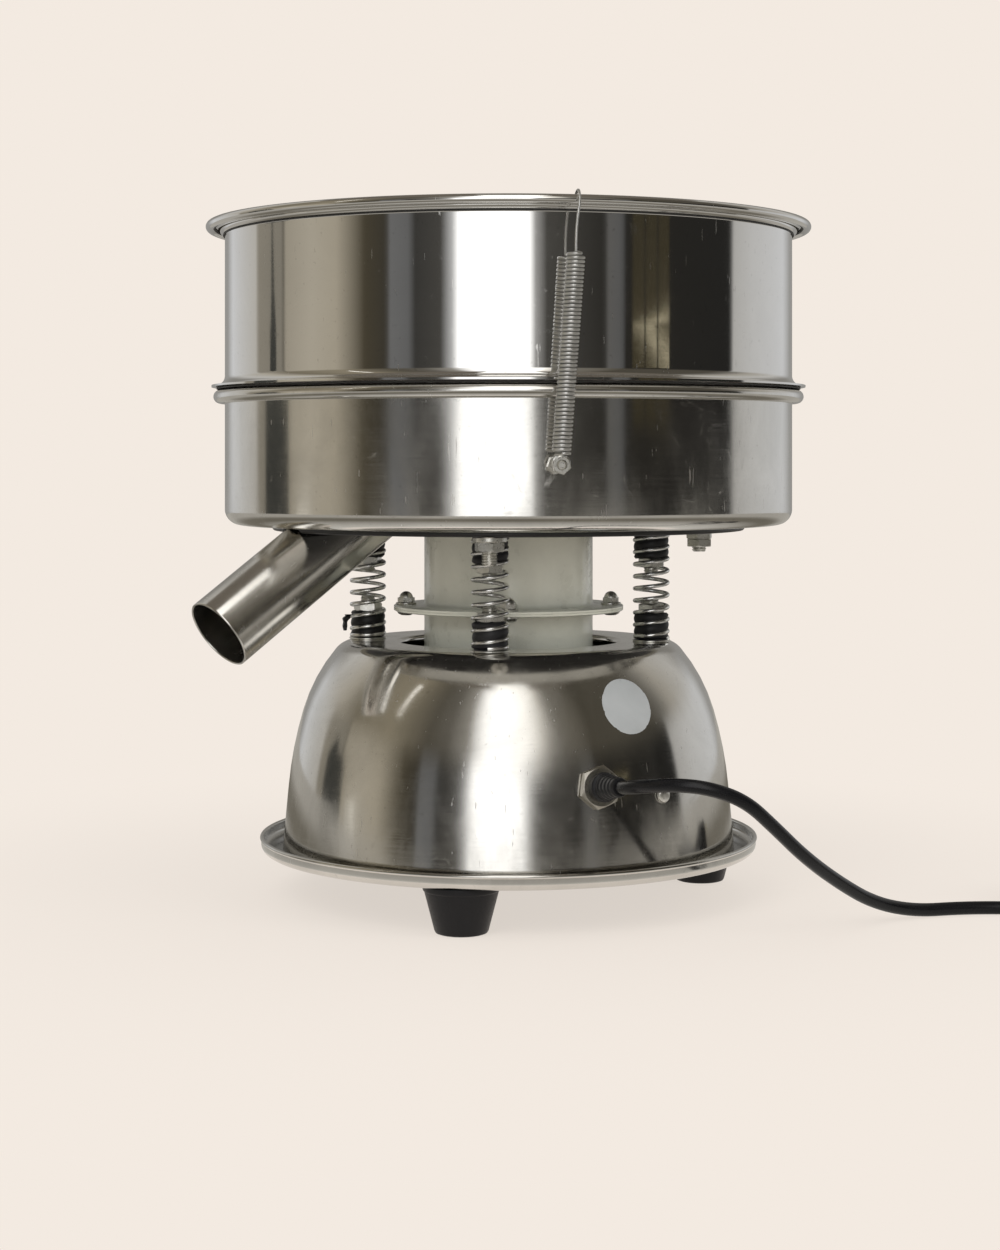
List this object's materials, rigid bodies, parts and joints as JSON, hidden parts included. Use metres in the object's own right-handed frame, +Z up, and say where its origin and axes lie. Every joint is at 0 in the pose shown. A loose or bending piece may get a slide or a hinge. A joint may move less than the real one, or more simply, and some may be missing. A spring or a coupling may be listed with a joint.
{
  "type": "vibrating sieve",
  "caption": "Tabletop vibrating sieve: stainless hopper ring clamped on a receiving pan with a side spout, a motor hung below it, and a domed base on springs and rubber feet.",
  "frame": {"origin": "on the floor under the machine's axis", "axes": "+Z up along the motor shaft and the pans' axis; -Y is the front, where the cord leaves the base; the spout points to the left and front"},
  "size_m": [0.5131, 0.3246, 0.3573],
  "materials": {
    "black_rubber": "matt moulded rubber",
    "zinc_steel": "bright zinc plate",
    "spring_steel": "bright drawn wire",
    "satin_stainless": "polished stainless sheet with a soft sheen",
    "mirror_stainless": "mirror-polished stainless sheet",
    "screen_mesh": "plain woven stainless cloth",
    "black_paint": "black enamel",
    "motor_paint": "glossy grey-cream enamel",
    "laminations": "stacked electrical steel",
    "copper_wire": "varnished copper wire",
    "bearing_steel": "ground steel",
    "cast_weight": "cast, unpainted",
    "cord_jacket": "satin black PVC",
    "plug_brass": "bright brass",
    "capacitor_case": "white plastic can"
  },
  "bodies": {
    "base": {"foot_front": "black_rubber", "foot_right": "black_rubber", "foot_left": "black_rubber", "foot_screws": "zinc_steel", "foot_nuts": "zinc_steel", "base_tray": "satin_stainless", "base_dome": "satin_stainless", "dome_brackets": "zinc_steel", "dome_screws": "zinc_steel", "gland_body": "zinc_steel", "gland_nuts": "zinc_steel", "strain_relief": "black_rubber", "power_cord": "cord_jacket", "cord_coil": "cord_jacket", "plug_body": "cord_jacket", "plug_pins": "plug_brass", "run_capacitor": "capacitor_case", "lower_studs": "zinc_steel", "lower_nuts": "zinc_steel", "lower_sleeves": "black_rubber", "lower_spring_seats": "zinc_steel", "spring_front": "spring_steel", "spring_right": "spring_steel", "spring_back": "spring_steel", "spring_left": "spring_steel"},
    "deck": {"deck_plate": "black_paint", "lower_pan": "satin_stainless", "spout": "satin_stainless", "deck_bolts": "zinc_steel", "deck_nuts": "zinc_steel", "deck_washers": "black_paint", "upper_studs": "zinc_steel", "upper_nuts": "zinc_steel", "upper_sleeves": "black_rubber", "upper_spring_seats": "zinc_steel", "motor_upper_housing": "motor_paint", "motor_lower_housing": "motor_paint", "motor_flange_bolts": "zinc_steel", "motor_flange_nuts": "zinc_steel", "motor_mount_screws": "zinc_steel", "stator_core": "laminations", "stator_windings": "copper_wire", "bearing_upper": "bearing_steel", "bearing_lower": "bearing_steel", "clamp_studs": "zinc_steel", "clamp_nuts": "zinc_steel", "clamp_spring_1": "spring_steel", "clamp_spring_2": "spring_steel", "clamp_spring_3": "spring_steel"},
    "upper_frame": {"upper_ring": "mirror_stainless", "screen_cloth": "screen_mesh", "screen_gasket": "black_rubber", "clamp_hook_1": "spring_steel", "clamp_hook_2": "spring_steel", "clamp_hook_3": "spring_steel"},
    "rotor": {"motor_shaft": "bearing_steel", "rotor_core": "laminations", "upper_weight": "cast_weight", "lower_weight": "cast_weight"}
  },
  "joints": [
    {"name": "deck_bounce", "type": "slide", "parent": "base", "child": "deck", "axis": [0, 0, 1], "range_m": [-0.004, 0.003], "stiffness_N_per_m": 14000, "springref_m": 0.0042, "deforming": ["spring_front", "spring_right", "spring_back", "spring_left"]},
    {"name": "upper_frame_lift", "type": "slide", "parent": "deck", "child": "upper_frame", "axis": [0, 0, 1], "range_m": [0, 0.012], "stiffness_N_per_m": 1850, "springref_m": -0.012, "deforming": ["clamp_spring_1", "clamp_spring_2", "clamp_spring_3"]},
    {"name": "rotor_spin", "type": "hinge", "parent": "deck", "child": "rotor", "pos_m": [0, 0, 0.12], "axis": [0, 0, 1], "continuous": true}
  ]
}
